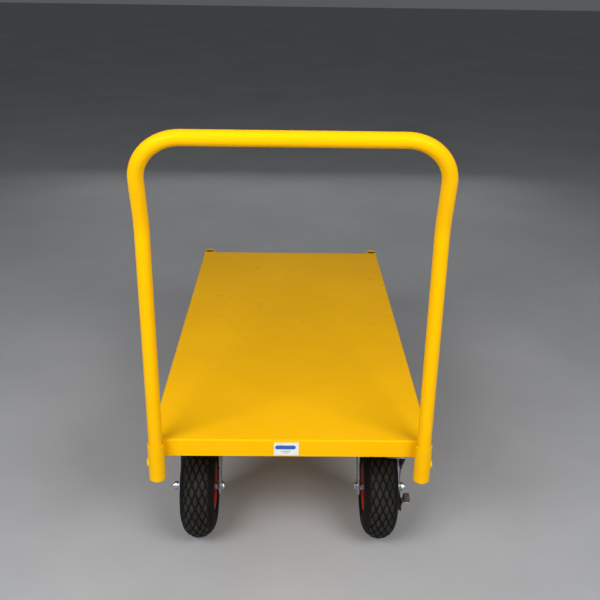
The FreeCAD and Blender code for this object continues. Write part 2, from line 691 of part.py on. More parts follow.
def rim_half(side):
    """Pressed half rim: disc at the middle, cone, bead seat and turned-up flange."""
    disc = HUB_FLANGE_THICK / 2
    seat = BEAD_SEAT - RIM_SHEET
    flange_x = TYRE_BEAD_X
    outline = [
        (disc, HUB_RADIUS), (disc, RIM_DISC_EDGE), (RIM_CONE_X, BEAD_SEAT), (flange_x, BEAD_SEAT),
        (flange_x, RIM_FLANGE), (flange_x + RIM_SHEET, RIM_FLANGE), (flange_x + RIM_SHEET, seat),
        (RIM_CONE_X + RIM_SHEET / 2, seat), (disc + RIM_SHEET, RIM_DISC_EDGE - RIM_SHEET / 2),
        (disc + RIM_SHEET, HUB_RADIUS),
    ]
    half = spun(chain([((side * x, r), None) for x, r in outline]))
    for bolt in rim_bolt_places():
        half = half.cut(rod(M8["r"], vec(-flange_x, bolt[0], bolt[1]), X_AXIS, 2 * flange_x))
    return half.cut(valve_stem(VALVE_RADIUS + HOLE_PLAY))


def rim_halves():
    return Part.makeCompound([rim_half(side) for side in SIDES.values()])


def rim_bolt_places():
    places = []
    for step in range(RIM_BOLT_COUNT):
        angle = RIM_BOLT_START + 2 * math.pi * step / RIM_BOLT_COUNT
        places.append((RIM_BOLT_PITCH * math.cos(angle), RIM_BOLT_PITCH * math.sin(angle)))
    return places


def rim_bolts():
    """Bolts that clamp the rim halves on the hub flange, with their nuts."""
    stack = HUB_FLANGE_THICK / 2 + RIM_SHEET
    pieces = []
    for y, z in rim_bolt_places():
        head = hex_prism(M8["af"], vec(stack, y, z), X_AXIS, M8["head"])
        length = 2 * stack + M8["nut"] + THREAD_SHOWING
        pieces.append(head.fuse(rod(M8["r"], vec(stack - length, y, z), X_AXIS, length)))
        nut = hex_prism(M8["af"], vec(-stack - M8["nut"], y, z), X_AXIS, M8["nut"])
        pieces.append(nut.cut(rod(M8["r"], vec(-stack - M8["nut"], y, z), X_AXIS, M8["nut"])))
    return Part.makeCompound(pieces)


def hub():
    start = vec(-HUB_LENGTH / 2, 0, 0)
    body = rod(HUB_RADIUS, start, X_AXIS, HUB_LENGTH)
    flange = rod(HUB_FLANGE, vec(-HUB_FLANGE_THICK / 2, 0, 0), X_AXIS, HUB_FLANGE_THICK)
    body = body.fuse(flange).cut(rod(HUB_CORE, start, X_AXIS, HUB_LENGTH))
    for seat_x in bearing_places():
        body = body.cut(rod(BEARING_RADIUS, vec(seat_x, 0, 0), X_AXIS, BEARING_WIDTH))
    for y, z in rim_bolt_places():
        hole = rod(M8["r"], vec(-HUB_FLANGE_THICK / 2, y, z), X_AXIS, HUB_FLANGE_THICK)
        body = body.cut(hole)
    return body


def bearing_places():
    return (-HUB_LENGTH / 2, HUB_LENGTH / 2 - BEARING_WIDTH)


def wheel_bearings():
    rings = []
    for x in bearing_places():
        rings.append(ring(BEARING_RADIUS, AXLE_RADIUS + RUNNING_PLAY, vec(x, 0, 0), X_AXIS, BEARING_WIDTH))
    return Part.makeCompound(rings)


# ---- brake ----
def brake_shoe():
    """Curved plate over the tyre's outer half; drawn in the braking place, then swung back to rest."""
    axle = (SWIVEL_AXLE_Y, WHEEL_RADIUS)
    inner_x = CASTOR_X + SHOE_FROM_MIDDLE
    start = vec(inner_x, axle[0], axle[1])
    plate = ring(SHOE_RADIUS + SHOE_SHEET, SHOE_RADIUS, start, X_AXIS, LEVER_OUTER - inner_x)
    wedge = [axle]
    for degrees in (SHOE_FAR_ANGLE, SHOE_NEAR_ANGLE):
        wedge.append(polar(axle, 2 * WHEEL_RADIUS, degrees))
    plate = plate.common(prism_yz(wedge, inner_x, LEVER_OUTER))
    plate.rotate(vec(inner_x, BRAKE_PIN[0], BRAKE_PIN[1]), X_AXIS, -BRAKE_ANGLE)
    return plate


def brake_pin():
    """Pin through the outer fork leg and the lever, with a head at each end."""
    y, z = BRAKE_PIN
    inner = CASTOR_X + FORK_GAP / 2 - BRAKE_HEAD
    body = rod(BRAKE_PIN_RADIUS, vec(inner, y, z), X_AXIS, LEVER_OUTER + BRAKE_HEAD - inner)
    for start in (inner, LEVER_OUTER):
        body = body.fuse(rod(BRAKE_HEAD_RADIUS, vec(start, y, z), X_AXIS, BRAKE_HEAD))
    return body.removeSplitter()


def brake_lever():
    """Flat hooked lever: up to the shoe, and down behind the axle nut to the pedal."""
    top = (SWIVEL_AXLE_Y + LEVER_TOP_Y, LEVER_TOP_Z)
    elbow = (SWIVEL_AXLE_Y + LEVER_ELBOW_Y, LEVER_ELBOW_Z)
    toe = (SWIVEL_AXLE_Y + LEVER_TOE_Y, LEVER_TOE_Z)
    body = strap(LEVER_X, LEVER_OUTER, BRAKE_PIN, LEVER_EYE_RADIUS, top, LEVER_ARM_RADIUS)
    body = body.fuse(strap(LEVER_X, LEVER_OUTER, BRAKE_PIN, LEVER_EYE_RADIUS, elbow, LEVER_ARM_RADIUS))
    body = body.fuse(strap(LEVER_X, LEVER_OUTER, elbow, LEVER_ARM_RADIUS, toe, LEVER_ARM_RADIUS))
    body = body.cut(rod(BRAKE_PIN_RADIUS, vec(LEVER_X, BRAKE_PIN[0], BRAKE_PIN[1]), X_AXIS, LEVER_SHEET))
    return body.cut(brake_shoe()).removeSplitter()


def brake_pedal():
    """Bent tread plate welded on the lever's toe."""
    y = SWIVEL_AXLE_Y + PEDAL_Y
    foot = PEDAL_TOP - PEDAL_SKIRT
    inner_top = PEDAL_TOP - PEDAL_SHEET
    skirt_x = LEVER_OUTER + PEDAL_SHEET
    end_x = LEVER_OUTER + PEDAL_REACH
    points = [
        vec(LEVER_OUTER, y, foot), vec(skirt_x, y, foot), vec(skirt_x, y, inner_top),
        vec(end_x, y, inner_top), vec(end_x, y, PEDAL_TOP), vec(LEVER_OUTER, y, PEDAL_TOP),
    ]
    radii = [0, 0, PEDAL_SHEET, 0, 0, 2 * PEDAL_SHEET]
    return Part.Face(rounded_wire(points, radii)).extrude(vec(0, PEDAL_DEPTH, 0))


def pedal_pad():
    y = SWIVEL_AXLE_Y + PEDAL_Y
    low = vec(LEVER_OUTER + 2 * PEDAL_SHEET, y, PEDAL_TOP)
    pad = box(low, vec(LEVER_OUTER + PEDAL_REACH, y + PEDAL_DEPTH, PEDAL_TOP + PAD_HEIGHT))
    top = [edge for edge in pad.Edges if edge.BoundBox.ZMin > PEDAL_TOP + PAD_HEIGHT / 2]
    return pad.makeFillet(PEDAL_SHEET, top)


# ---- write every node ----
def export_wheel(name, x, y):
    pieces = {
        "tyre": tyre, "inner_tube": inner_tube, "rim_halves": rim_halves,
        "rim_bolts": rim_bolts, "hub": hub, "wheel_bearings": wheel_bearings,
    }
    for piece, build in pieces.items():
        export(name + "_" + piece, moved(build(), x, y, WHEEL_RADIUS))


def export_deck():
    export("deck_tray", deck_tray())
    export("near_bolster", bolster(KINGPIN_Y))
    export("far_bolster", bolster(FIXED_Y))
    export("side_rails", side_rails())
    export("cross_ribs", cross_ribs())
    export("data_label", data_label())
    for name, place in socket_places().items():
        export(name + "_socket", corner_socket(*place))
    export("push_handle", handle_tube())
    export("handle_plugs", handle_plugs())
    export("handle_bolts", handle_bolts())


def export_castors():
    fixed_bolts = []
    fixed_hardware = []
    for name, side in SIDES.items():
        x = side * CASTOR_X
        export("near_" + name + "_plate", swivel_plate(x))
        export("near_" + name + "_fork", swivel_fork(x, braked=side > 0))
        export("near_" + name + "_balls", swivel_balls(x))
        export("near_" + name + "_axle_bolt", axle_bolt(x, SWIVEL_AXLE_Y, side))
        hardware = axle_hardware(x, SWIVEL_AXLE_Y, side)
        export("near_" + name + "_axle_hardware", Part.makeCompound(hardware))
        export("far_" + name + "_bracket", fixed_bracket(x))
        fixed_bolts.append(axle_bolt(x, FIXED_Y, side))
        fixed_hardware += axle_hardware(x, FIXED_Y, side)
        export_wheel("near_" + name, x, SWIVEL_AXLE_Y)
        export_wheel("far_" + name, x, FIXED_Y)
    export("far_axle_bolts", Part.makeCompound(fixed_bolts))
    export("far_axle_hardware", Part.makeCompound(fixed_hardware))
    export("kingpins", kingpins())
    export("kingpin_nuts", kingpin_nuts())
    export("castor_bolts", castor_bolts())
    export("castor_nuts", castor_nuts())


def export_brake():
    export("brake_pin", brake_pin())
    export("brake_shoe", brake_shoe())
    export("brake_lever", brake_lever())
    export("brake_pedal", brake_pedal())
    export("pedal_pad", pedal_pad())


os.makedirs("parts", exist_ok=True)
export_deck()
export_castors()
export_brake()
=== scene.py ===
import json
import math

import bmesh
import bpy
from mathutils import Matrix, Vector


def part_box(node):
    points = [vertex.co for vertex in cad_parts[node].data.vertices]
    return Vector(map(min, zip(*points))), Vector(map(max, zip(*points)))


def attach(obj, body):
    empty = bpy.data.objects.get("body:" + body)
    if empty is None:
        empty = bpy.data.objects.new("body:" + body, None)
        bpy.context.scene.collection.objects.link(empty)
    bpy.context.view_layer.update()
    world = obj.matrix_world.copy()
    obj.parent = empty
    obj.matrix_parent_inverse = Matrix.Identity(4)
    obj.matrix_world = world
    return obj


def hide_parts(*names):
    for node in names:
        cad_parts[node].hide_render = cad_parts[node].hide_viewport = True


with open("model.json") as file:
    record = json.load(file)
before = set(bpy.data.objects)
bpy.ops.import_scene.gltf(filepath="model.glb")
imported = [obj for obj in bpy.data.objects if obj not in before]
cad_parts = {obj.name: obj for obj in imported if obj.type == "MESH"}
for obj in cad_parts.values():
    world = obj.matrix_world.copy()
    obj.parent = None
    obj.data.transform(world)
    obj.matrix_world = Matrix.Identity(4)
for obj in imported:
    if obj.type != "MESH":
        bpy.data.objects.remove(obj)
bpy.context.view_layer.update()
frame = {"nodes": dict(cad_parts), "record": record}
NODES = frame["nodes"]
MM = 0.001
SIDES = ("left", "right")
ENDS = ("near", "far")


# ---------------------------------------------------------------- places
def middle(node):
    low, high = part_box(node)
    return (low + high) / 2


def socket_tube(node):
    """The middle of a socket's rim and its outer radius. Its boss makes its box longer along X only."""
    low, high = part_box(node)
    radius = (high.y - low.y) / 2
    x = low.x + radius if low.x > 0 else high.x - radius
    return Vector((x, (low.y + high.y) / 2, high.z)), radius


def body_of_wheel(end, side):
    return f"{end}_{side}_wheel"


# ---------------------------------------------------------------- colours
def rgb(red, green, blue):
    return (red, green, blue, 1.0)


YELLOW = rgb(0.89, 0.458, 0.0012)
YELLOW_CLOUD = rgb(0.93, 0.487, 0.0020)
YELLOW_RUB = rgb(0.97, 0.56, 0.03)
YELLOW_DUST = rgb(0.50, 0.33, 0.10)
YELLOW_SPECK = rgb(0.30, 0.15, 0.01)
YELLOW_SHEEN = rgb(1.0, 0.62, 0.12)
# Painted shade: a dark yellow-brown laid inside the socket bores.
BORE_PAINTED_SHADE = rgb(0.085, 0.040, 0.006)
ZINC_DULL = rgb(0.50, 0.53, 0.56)
ZINC_BRIGHT = rgb(0.72, 0.74, 0.76)
ZINC_STAIN = rgb(0.33, 0.32, 0.29)
BALL_BRIGHT = rgb(0.62, 0.62, 0.63)
BALL_GREASE = rgb(0.36, 0.35, 0.32)
RED = rgb(0.46, 0.012, 0.008)
RED_CLOUD = rgb(0.58, 0.020, 0.012)
RED_DUST = rgb(0.25, 0.10, 0.07)
RED_WORN = rgb(0.30, 0.16, 0.13)
BLACK = rgb(0.010, 0.010, 0.011)
BLACK_CLOUD = rgb(0.022, 0.022, 0.023)
BLACK_RUB = rgb(0.055, 0.053, 0.050)
TYRE = rgb(0.0040, 0.0040, 0.0042)
TYRE_CLOUD = rgb(0.0075, 0.0072, 0.0070)
TYRE_DUST = rgb(0.034, 0.031, 0.027)
TREAD_DUST = rgb(0.038, 0.034, 0.028)
TUBE_DARK = rgb(0.020, 0.020, 0.020)
TUBE_LIGHT = rgb(0.045, 0.043, 0.040)
PAD_DARK = rgb(0.085, 0.070, 0.055)
PAD_LIGHT = rgb(0.15, 0.125, 0.10)
VINYL = rgb(0.80, 0.80, 0.77)
VINYL_AGED = rgb(0.70, 0.69, 0.64)
BLUE_DARK = rgb(0.02, 0.09, 0.36)
BLUE_LIGHT = rgb(0.03, 0.13, 0.45)
GREY_DARK = rgb(0.30, 0.31, 0.33)
GREY_LIGHT = rgb(0.40, 0.41, 0.43)
FLOOR_DARK = rgb(0.36, 0.365, 0.375)
FLOOR_LIGHT = rgb(0.43, 0.435, 0.445)
WORLD_GREY = rgb(0.098, 0.100, 0.105)


# ---------------------------------------------------------------- materials
class Graph:
    """A short way to add shader nodes to one material."""

    # The names of the shader's sockets that take one value for the whole material.
    CONSTANTS = {
        "metallic": "Metallic",
        "coat": "Coat Weight",
        "coat_roughness": "Coat Roughness",
        "specular": "Specular IOR Level",
        "tint": "Specular Tint",
    }
    UPWARD_FROM, UPWARD_TO = 0.85, 0.98
    NOISE_LOW, NOISE_HIGH = 0.3, 0.7
    MIX_FIRST, MIX_SECOND, MIX_RESULT = 6, 7, 2
    BORE_BLEND = 0.4 * MM
    # Under a bore's rim: where the painted shade begins, and where it reaches full strength.
    CLEAN_RIM, RIM_BLEND = 1 * MM, 5 * MM

    def __init__(self, name):
        self.material = bpy.data.materials.new(name)
        self.material.use_nodes = True
        self.tree = self.material.node_tree
        self.shader = self.tree.nodes["Principled BSDF"]
        self.coords = self.node("ShaderNodeTexCoord").outputs["Object"]

    def node(self, kind, **values):
        made = self.tree.nodes.new(kind)
        for key, value in values.items():
            setattr(made, key, value)
        return made

    def link(self, source, target):
        self.tree.links.new(source, target)

    def constants(self, **values):
        for key, value in values.items():
            self.shader.inputs[self.CONSTANTS[key]].default_value = value

    def stretched(self, x, y, z):
        """The object's coordinates, scaled along each axis."""
        mapping = self.node("ShaderNodeMapping")
        mapping.inputs["Scale"].default_value = (x, y, z)
        self.link(self.coords, mapping.inputs["Vector"])
        return mapping.outputs["Vector"]

    def noise(self, scale, detail, rough=0.5, where=None):
        made = self.node("ShaderNodeTexNoise")
        made.inputs["Scale"].default_value = scale
        made.inputs["Detail"].default_value = detail
        made.inputs["Roughness"].default_value = rough
        self.link(where or self.coords, made.inputs["Vector"])
        return made.outputs["Fac"]

    def ramp(self, value, low, high, out_low=0.0, out_high=1.0):
        made = self.node("ShaderNodeMapRange")
        limits = {"From Min": low, "From Max": high, "To Min": out_low, "To Max": out_high}
        for key, number in limits.items():
            made.inputs[key].default_value = number
        self.link(value, made.inputs["Value"])
        return made.outputs["Result"]

    def patches(self, scale, detail, low=0.35, high=0.65, most=1.0, rough=0.5, where=None):
        """A mask of soft patches: 0 where the noise is under low, most where it is over high."""
        return self.ramp(self.noise(scale, detail, rough, where), low, high, 0.0, most)

    def drift(self, scale, detail, least, most, rough=0.5):
        """A value that wanders between two limits."""
        return self.ramp(self.noise(scale, detail, rough), self.NOISE_LOW, self.NOISE_HIGH, least, most)

    def relief(self, scale, detail, strength, depth, where=None, below=None):
        """Fine bumps, on top of the ones below."""
        made = self.node("ShaderNodeBump")
        made.inputs["Strength"].default_value = strength
        made.inputs["Distance"].default_value = depth
        self.link(self.noise(scale, detail, where=where), made.inputs["Height"])
        if below is not None:
            self.link(below, made.inputs["Normal"])
        return made.outputs["Normal"]

    def times(self, first, second):
        made = self.node("ShaderNodeMath", operation="MULTIPLY")
        self.link(first, made.inputs[0])
        self.link(second, made.inputs[1])
        return made.outputs[0]

    def mix(self, factor, first, second):
        made = self.node("ShaderNodeMix", data_type="RGBA")
        self.link(factor, made.inputs["Factor"])
        for index, value in ((self.MIX_FIRST, first), (self.MIX_SECOND, second)):
            if isinstance(value, tuple):
                made.inputs[index].default_value = value
            else:
                self.link(value, made.inputs[index])
        return made.outputs[self.MIX_RESULT]

    def upward(self):
        """1 on faces that look up, 0 on the others."""
        normal = self.node("ShaderNodeNewGeometry").outputs["Normal"]
        split = self.node("ShaderNodeSeparateXYZ")
        self.link(normal, split.inputs["Vector"])
        return self.ramp(split.outputs["Z"], self.UPWARD_FROM, self.UPWARD_TO)

    def within(self, rim, radius):
        """1 inside an upright bore, except close under its rim."""
        away = self.node("ShaderNodeVectorMath", operation="SUBTRACT")
        self.link(self.coords, away.inputs[0])
        away.inputs[1].default_value = rim
        flat = self.node("ShaderNodeVectorMath", operation="MULTIPLY")
        self.link(away.outputs[0], flat.inputs[0])
        flat.inputs[1].default_value = (1, 1, 0)
        reach = self.node("ShaderNodeVectorMath", operation="LENGTH")
        self.link(flat.outputs[0], reach.inputs[0])
        split = self.node("ShaderNodeSeparateXYZ")
        self.link(away.outputs[0], split.inputs[0])
        inside = self.ramp(reach.outputs["Value"], radius, radius + self.BORE_BLEND, 1.0, 0.0)
        below_rim = self.ramp(split.outputs["Z"], -self.RIM_BLEND, -self.CLEAN_RIM, 1.0, 0.0)
        return self.times(inside, below_rim)

    def finish(self, colour, roughness, normal):
        for name, source in (("Base Color", colour), ("Roughness", roughness), ("Normal", normal)):
            self.link(source, self.shader.inputs[name])
        return self.material


TREAD_TOP = "tread_top"


def powder_coat(name="yellow_powder_coat", bore=None):
    """Gloss yellow powder coat: fine orange peel, faint cloudiness, light rubs and dust on top.

    With a bore (middle of its rim, radius), the inside of the bore below its rim is painted darker, as
    painted shade.
    """
    graph = Graph(name)
    graph.constants(specular=0.16, tint=YELLOW_SHEEN)
    colour = graph.mix(graph.patches(scale=4, detail=3), YELLOW, YELLOW_CLOUD)
    streaks = graph.stretched(30, 2.2, 30)
    rub = graph.patches(scale=9, detail=6, low=0.67, high=0.80, most=0.07, rough=0.62, where=streaks)
    colour = graph.mix(rub, colour, YELLOW_RUB)
    dust = graph.patches(scale=14, detail=7, low=0.38, high=0.85, most=0.030, rough=0.6)
    colour = graph.mix(graph.times(graph.upward(), dust), colour, YELLOW_DUST)
    speck = graph.patches(scale=140, detail=1, low=0.82, high=0.84, most=0.25)
    colour = graph.mix(graph.times(speck, graph.upward()), colour, YELLOW_SPECK)
    if bore is not None:
        # Painted shade: darken the inside of the bore below its rim.
        bore_shade = graph.times(graph.within(*bore), graph.drift(scale=90, detail=5, least=0.80, most=1.0))
        colour = graph.mix(bore_shade, colour, BORE_PAINTED_SHADE)
    rough = graph.drift(scale=18, detail=2, least=0.27, most=0.33)
    peel = graph.relief(scale=330, detail=2, strength=0.10, depth=0.4 * MM)
    wave = graph.relief(scale=3, detail=1, strength=0.05, depth=10 * MM, below=peel)
    return graph.finish(colour, rough, wave)


def zinc_plate():
    """Bright zinc on pressed steel: patchy sheen, small stains, fine drawing lines."""
    graph = Graph("zinc_plated_steel")
    graph.constants(metallic=1.0)
    colour = graph.mix(graph.patches(scale=30, detail=4, low=0.3, high=0.7), ZINC_DULL, ZINC_BRIGHT)
    stain = graph.patches(scale=70, detail=6, low=0.60, high=0.74, most=0.45, rough=0.65)
    colour = graph.mix(stain, colour, ZINC_STAIN)
    rough = graph.drift(scale=110, detail=5, least=0.26, most=0.46)
    lines = graph.relief(scale=60, detail=2, strength=0.06, depth=0.3 * MM, where=graph.stretched(4, 4, 30))
    return graph.finish(colour, rough, lines)


def bearing_steel():
    """Polished steel with smears of old grease."""
    graph = Graph("bearing_steel")
    graph.constants(metallic=1.0)
    colour = graph.mix(graph.patches(scale=160, detail=3, low=0.4, high=0.7), BALL_BRIGHT, BALL_GREASE)
    rough = graph.drift(scale=90, detail=3, least=0.12, most=0.28)
    return graph.finish(colour, rough, graph.relief(scale=500, detail=2, strength=0.03, depth=0.1 * MM))


def rim_paint():
    """Gloss red paint on pressed steel, dusty and worn in spots."""
    graph = Graph("red_rim_paint")
    graph.constants(coat=0.2, coat_roughness=0.2, specular=0.35)
    colour = graph.mix(graph.patches(scale=25, detail=4), RED, RED_CLOUD)
    dust = graph.patches(scale=60, detail=6, low=0.48, high=0.75, most=0.35, rough=0.6)
    colour = graph.mix(dust, colour, RED_DUST)
    worn = graph.patches(scale=150, detail=3, low=0.68, high=0.76, most=0.5)
    colour = graph.mix(worn, colour, RED_WORN)
    rough = graph.drift(scale=45, detail=4, least=0.28, most=0.5)
    return graph.finish(colour, rough, graph.relief(scale=420, detail=2, strength=0.12, depth=0.3 * MM))


def black_paint():
    """Satin black on small steel parts, rubbed to a duller grey in streaks."""
    graph = Graph("black_steel")
    graph.constants(specular=0.5)
    colour = graph.mix(graph.patches(scale=50, detail=4), BLACK, BLACK_CLOUD)
    streaks = graph.stretched(1, 1, 0.3)
    rub = graph.patches(scale=120, detail=5, low=0.62, high=0.78, most=0.5, rough=0.6, where=streaks)
    colour = graph.mix(rub, colour, BLACK_RUB)
    rough = graph.drift(scale=80, detail=4, least=0.34, most=0.55)
    return graph.finish(colour, rough, graph.relief(scale=500, detail=2, strength=0.15, depth=0.3 * MM))


def tyre_rubber():
    """Black rubber: dark in the grooves, with brown-grey floor dust scuffed onto the tread tops."""
    graph = Graph("tyre_rubber")
    graph.constants(specular=0.10)
    colour = graph.mix(graph.patches(scale=28, detail=4), TYRE, TYRE_CLOUD)
    dust = graph.patches(scale=75, detail=7, low=0.52, high=0.80, most=0.20, rough=0.62)
    colour = graph.mix(dust, colour, TYRE_DUST)
    top = graph.node("ShaderNodeAttribute", attribute_name=TREAD_TOP).outputs["Fac"]
    scuff = graph.times(top, graph.drift(scale=40, detail=6, least=0.35, most=1.0, rough=0.6))
    colour = graph.mix(scuff, colour, TREAD_DUST)
    rough = graph.drift(scale=60, detail=5, least=0.58, most=0.80)
    return graph.finish(colour, rough, graph.relief(scale=650, detail=3, strength=0.30, depth=0.3 * MM))


def plain_rubber(name, dark, light):
    graph = Graph(name)
    graph.constants(specular=0.3)
    colour = graph.mix(graph.patches(scale=90, detail=5, high=0.70, rough=0.6), dark, light)
    rough = graph.drift(scale=150, detail=3, least=0.6, most=0.85)
    return graph.finish(colour, rough, graph.relief(scale=700, detail=3, strength=0.25, depth=0.2 * MM))


def label_vinyl():
    """White vinyl, faintly yellowed in patches."""
    graph = Graph("label_vinyl")
    graph.constants(coat=0.2, coat_roughness=0.2)
    colour = graph.mix(graph.patches(scale=70, detail=5, high=0.75), VINYL, VINYL_AGED)
    rough = graph.drift(scale=120, detail=3, least=0.28, most=0.42)
    return graph.finish(colour, rough, graph.relief(scale=900, detail=2, strength=0.05, depth=0.1 * MM))


def printed_ink(name, dark, light):
    graph = Graph(name)
    colour = graph.mix(graph.patches(scale=500, detail=3), dark, light)
    rough = graph.drift(scale=200, detail=3, least=0.3, most=0.45)
    return graph.finish(colour, rough, graph.relief(scale=900, detail=2, strength=0.05, depth=0.1 * MM))


def studio_floor():
    """Pale sealed floor with a faint mottle, clear when looked at from below."""
    graph = Graph("studio_floor")
    graph.constants(specular=0.3)
    mottle = graph.patches(scale=1.3, detail=6, low=0.3, high=0.7, rough=0.6)
    colour = graph.mix(mottle, FLOOR_DARK, FLOOR_LIGHT)
    rough = graph.drift(scale=9, detail=5, least=0.50, most=0.65)
    made = graph.finish(colour, rough, graph.relief(scale=60, detail=4, strength=0.05, depth=1 * MM))
    blend = graph.node("ShaderNodeMixShader")
    graph.link(graph.node("ShaderNodeNewGeometry").outputs["Backfacing"], blend.inputs[0])
    graph.link(graph.shader.outputs[0], blend.inputs[1])
    graph.link(graph.node("ShaderNodeBsdfTransparent").outputs[0], blend.inputs[2])
    graph.link(blend.outputs[0], graph.tree.nodes["Material Output"].inputs["Surface"])
    return made


MATERIALS = {
    "yellow_powder_coat": powder_coat(),
    "zinc_plated_steel": zinc_plate(),
    "bearing_steel": bearing_steel(),
    "red_rim_paint": rim_paint(),
    "black_steel": black_paint(),
    "tyre_rubber": tyre_rubber(),
    "tube_rubber": plain_rubber("tube_rubber", TUBE_DARK, TUBE_LIGHT),
    "pedal_rubber": plain_rubber("pedal_rubber", PAD_DARK, PAD_LIGHT),
    "label_vinyl": label_vinyl(),
}
BLUE_INK = printed_ink("label_blue", BLUE_DARK, BLUE_LIGHT)
GREY_INK = printed_ink("label_grey", GREY_DARK, GREY_LIGHT)


# ---------------------------------------------------------------- mesh helpers
def ring_of(mesh, place, across, up, radii):
    """A ring of vertices round a place, in the plane of two unit directions, one for each radius."""
    ring = []
    for index, radius in enumerate(radii):
        angle = 2 * math.pi * index / len(radii)
        ring.append(mesh.verts.new(place + (across * math.cos(angle) + up * math.sin(angle)) * radius))
    return ring


def skin(mesh, rings, closed=True):
    """Quads between neighbouring rings, or between neighbouring open rows."""
    for outer, inner in zip(rings, rings[1:]):
        count = len(outer)
        for index in range(count if closed else count - 1):
            following = (index + 1) % count
            add_face(mesh, outer[index], outer[following], inner[following], inner[index])


def solid_skin(mesh, rings):
    """Closed rings skinned into a solid with a flat face at both ends."""
    skin(mesh, rings)
    mesh.faces.new(rings[0][::-1])
    mesh.faces.new(rings[-1])


def add_face(mesh, *corners):
    if len(set(corners)) > 2:
        mesh.faces.new(corners)


def mesh_data(mesh, name):
    """The finished data of a mesh, with its faces turned outward."""
    bmesh.ops.recalc_face_normals(mesh, faces=mesh.faces)
    data = bpy.data.meshes.new(name)
    mesh.to_mesh(data)
    mesh.free()
    return data


def make_object(name, mesh, material, body, smooth_angle):
    made = bpy.data.objects.new(name, mesh_data(mesh, name))
    bpy.context.scene.collection.objects.link(made)
    made.data.materials.append(material)
    smooth(made, smooth_angle)
    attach(made, body)
    return made


def smooth(thing, angle):
    """Smooth shading, with edges sharper than the angle kept sharp."""
    data = thing.data
    data.polygons.foreach_set("use_smooth", [True] * len(data.polygons))
    data.set_sharp_from_angle(angle=math.radians(angle))


# ---------------------------------------------------------------- carried-over CAD nodes
# The ends of the names of nodes that keep their edges as they are.
UNBEVELLED = (
    "balls", "inner_tube", "tyre", "label", "bearings", "pad", "socket", "push_handle", "deck_tray",
)
CAD_SMOOTH_ANGLE = 30.0
WELD_REACH = 0.004 * MM
BEVEL_WIDTH = 0.45 * MM
BEVEL_ANGLE = math.radians(40)
SOCKET_BORE = 15.7 * MM
BORE_MARGIN = 0.1 * MM


def round_edges(thing):
    """Joins the CAD faces along their shared edges and rounds every hard edge a little."""
    weld = thing.modifiers.new("join_faces", "WELD")
    weld.merge_threshold = WELD_REACH
    bevel = thing.modifiers.new("edge_round", "BEVEL")
    bevel.width = BEVEL_WIDTH
    bevel.segments = 2
    bevel.limit_method = "ANGLE"
    bevel.angle_limit = BEVEL_ANGLE
    bevel.harden_normals = True


def socket_coat(node):
    """The powder coat with painted shade inside the socket's own bore."""
    rim, _ = socket_tube(node)
    return powder_coat(node + "_coat", (rim, SOCKET_BORE + BORE_MARGIN))


def dress_cad_nodes():
    """Gives each CAD node its slot's material, and most of them smooth faces and rounded edges."""
    slots = {row["node"]: row["material_slot"] for row in frame["record"]["subparts"]}
    for name, thing in NODES.items():
        thing.data.materials.clear()
        coat = socket_coat(name) if name.endswith("socket") else MATERIALS[slots[name]]
        thing.data.materials.append(coat)
        if not name.endswith(UNBEVELLED):
            smooth(thing, CAD_SMOOTH_ANGLE)
            round_edges(thing)


dress_cad_nodes()


# ---------------------------------------------------------------- tyres
class TyreSection:
    """The tyre's outline as a crown arc and two side arcs, measured along the surface from the crown."""

    SHOULDER_X, SHOULDER_DROP = 24 * MM, 8 * MM
    WIDEST_DROP = 39 * MM
    BEAD_X, BEAD_DROP = 34 * MM, 63 * MM

    def __init__(self, node):
        low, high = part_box(node)
        self.centre = (low + high) / 2
        self.radius = (high.z - low.z) / 2
        half_width = (high.x - low.x) / 2
        shoulder = Vector((self.SHOULDER_X, self.radius - self.SHOULDER_DROP))
        widest = Vector((half_width, self.radius - self.WIDEST_DROP))
        bead = Vector((self.BEAD_X, self.radius - self.BEAD_DROP))
        crown = Vector((0, self.radius))
        across = Vector((-shoulder.x, shoulder.y))
        self.crown_centre, self.crown_radius = circle_through(across, crown, shoulder)
        self.side_centre, self.side_radius = circle_through(shoulder, widest, bead)
        crown_turn = math.asin(shoulder.x / self.crown_radius)
        self.crown_length = crown_turn * self.crown_radius
        self.side_start = self.side_angle(shoulder)
        side_turn = self.side_angle(bead) - self.side_start
        self.length = self.crown_length + side_turn * self.side_radius

    def side_angle(self, point):
        """The angle of a point of the side arc, from straight out of the wheel."""
        offset = point - self.side_centre
        return math.atan2(offset.x, offset.y)

    def point(self, along, depth=0.0):
        """(x, r) at that distance from the crown, sunk by depth under the surface."""
        side = math.copysign(1.0, along)
        reach = abs(along)
        if reach <= self.crown_length:
            centre, radius, angle = self.crown_centre, self.crown_radius, reach / self.crown_radius
        else:
            angle = self.side_start + (reach - self.crown_length) / self.side_radius
            centre, radius = self.side_centre, self.side_radius
        radius -= depth
        return side * (centre.x + radius * math.sin(angle)), centre.y + radius * math.cos(angle)


def circle_through(a, b, c):
    """Centre and radius of the circle through three (x, r) points."""
    divisor = 2 * (a.x * (b.y - c.y) + b.x * (c.y - a.y) + c.x * (a.y - b.y))
    squares = (a.length_squared, b.length_squared, c.length_squared)
    x = sum(square * rise for square, rise in zip(squares, (b.y - c.y, c.y - a.y, a.y - b.y)))
    y = sum(square * run for square, run in zip(squares, (c.x - b.x, a.x - c.x, b.x - a.x)))
    centre = Vector((x / divisor, y / divisor))
    return centre, (a - centre).length


TREAD_PERIODS = 20
TREAD_PITCH = 17 * MM
TREAD_EDGE = 2 * TREAD_PITCH
TREAD_DEPTH = 3.2 * MM
TREAD_FADE = 6 * MM
EDGE_STEPS = 4
BLOCK_BULGE = 1.3
# Each ring of a block: its size as a part of the cell, and its level from groove floor (0) to top (1).
BLOCK_RINGS = ((1.0, 0.0), (0.74, 0.0), (0.66, 0.70), (0.57, 0.96), (0.40, 1.0), (0.2, 1.0))
DIAMOND_CORNERS = ((1, 0), (0, 1), (-1, 0), (0, -1))
